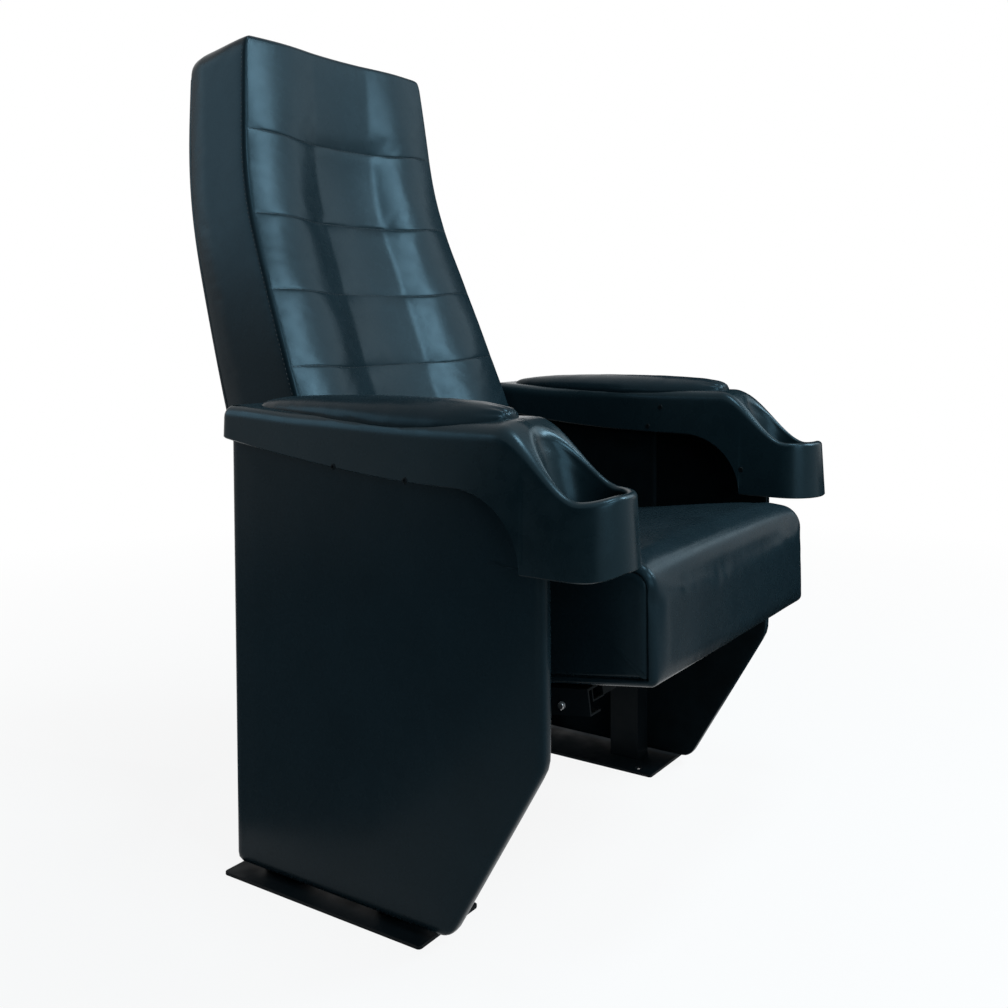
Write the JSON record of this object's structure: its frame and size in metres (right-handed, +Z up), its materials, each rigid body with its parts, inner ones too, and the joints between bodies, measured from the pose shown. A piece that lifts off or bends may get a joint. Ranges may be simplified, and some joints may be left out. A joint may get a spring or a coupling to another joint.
{
  "type": "auditorium chair",
  "caption": "High-backed upholstered auditorium chair with cup-holder arms on floor plates; its back reclines against springs while the seat slides forward.",
  "frame": {"origin": "on the floor under the centre of the chair's bounding box", "axes": "+Z up, -Y the way the sitter faces, +X towards the sitter's left arm"},
  "size_m": [0.655, 0.7896, 1.102],
  "materials": {
    "leatherette": "satin blue-black leatherette with a fine grain",
    "arm_plastic": "fine-textured moulded black plastic",
    "black_steel": "matte black powder coat",
    "zinc_steel": "bright zinc plate",
    "plywood": "raw pressed plywood",
    "nylon": "natural nylon",
    "rubber": "matte black rubber"
  },
  "bodies": {
    "base": {"floor_plate_left": "black_steel", "floor_plate_right": "black_steel", "front_post_left": "black_steel", "front_post_right": "black_steel", "rear_post_left": "black_steel", "rear_post_right": "black_steel", "arm_rail_left": "black_steel", "arm_rail_right": "black_steel", "outer_panel_left": "leatherette", "outer_panel_right": "leatherette", "inner_panel_left": "leatherette", "inner_panel_right": "leatherette", "arm_shell_left": "arm_plastic", "arm_shell_right": "arm_plastic", "arm_pad_left": "leatherette", "arm_pad_right": "leatherette", "front_beam": "black_steel", "rear_beam": "black_steel", "front_beam_flange_left": "black_steel", "front_beam_flange_right": "black_steel", "rear_beam_flange_left": "black_steel", "rear_beam_flange_right": "black_steel", "slide_rail_left": "black_steel", "slide_rail_right": "black_steel", "stop_buffer_left": "rubber", "stop_buffer_right": "rubber", "pivot_bracket_left": "black_steel", "pivot_bracket_right": "black_steel", "pivot_bush_left": "nylon", "pivot_bush_right": "nylon", "return_spring_left": "zinc_steel", "return_spring_right": "zinc_steel"},
    "back": {"back_cushion": "leatherette", "back_cover": "leatherette", "back_board": "plywood", "back_tube_left": "black_steel", "back_tube_right": "black_steel", "back_cross_tube_lower": "black_steel", "back_cross_tube_upper": "black_steel", "recline_lever_left": "black_steel", "recline_lever_right": "black_steel", "pivot_stud_left": "zinc_steel", "pivot_stud_right": "zinc_steel", "drive_pin_left": "zinc_steel", "drive_pin_right": "zinc_steel"},
    "seat": {"seat_cushion": "leatherette", "seat_board": "plywood", "seat_rail_left": "black_steel", "seat_rail_right": "black_steel", "seat_cross_tube_front": "black_steel", "seat_cross_tube_rear": "black_steel", "drive_bracket_left": "black_steel", "drive_bracket_right": "black_steel"},
    "front_roller_left": {"front_roller_left": "nylon"},
    "front_roller_right": {"front_roller_right": "nylon"},
    "rear_roller_left": {"rear_roller_left": "nylon"},
    "rear_roller_right": {"rear_roller_right": "nylon"}
  },
  "joints": [
    {"name": "back_recline", "type": "hinge", "parent": "base", "child": "back", "pos_m": [0, 0.19413, 0.5], "axis": [-1, 0, 0], "range_deg": [0, 12], "stiffness_Nm_per_rad": 80, "springref_deg": -25.78},
    {"name": "seat_slide", "type": "slide", "parent": "base", "child": "seat", "axis": [0, -0.9903, 0.1392], "range_m": [0, 0.061], "deforming": ["return_spring_left", "return_spring_right"]},
    {"name": "front_roller_spin_left", "type": "hinge", "parent": "seat", "child": "front_roller_left", "pos_m": [0.2045, -0.20132, 0.26109], "axis": [1, 0, 0], "range_deg": [0, 275]},
    {"name": "front_roller_spin_right", "type": "hinge", "parent": "seat", "child": "front_roller_right", "pos_m": [-0.2045, -0.20132, 0.26109], "axis": [1, 0, 0], "range_deg": [0, 275]},
    {"name": "rear_roller_spin_left", "type": "hinge", "parent": "seat", "child": "rear_roller_left", "pos_m": [0.2045, 0.00664, 0.23186], "axis": [1, 0, 0], "range_deg": [0, 275]},
    {"name": "rear_roller_spin_right", "type": "hinge", "parent": "seat", "child": "rear_roller_right", "pos_m": [-0.2045, 0.00664, 0.23186], "axis": [1, 0, 0], "range_deg": [0, 275]}
  ],
  "couplings": [
    {"joint": "seat_slide", "follows": "back_recline", "m_per_rad": 0.28512},
    {"joint": "front_roller_spin_left", "follows": "back_recline", "ratio": 22.81},
    {"joint": "front_roller_spin_right", "follows": "back_recline", "ratio": 22.81},
    {"joint": "rear_roller_spin_left", "follows": "back_recline", "ratio": 22.81},
    {"joint": "rear_roller_spin_right", "follows": "back_recline", "ratio": 22.81}
  ]
}
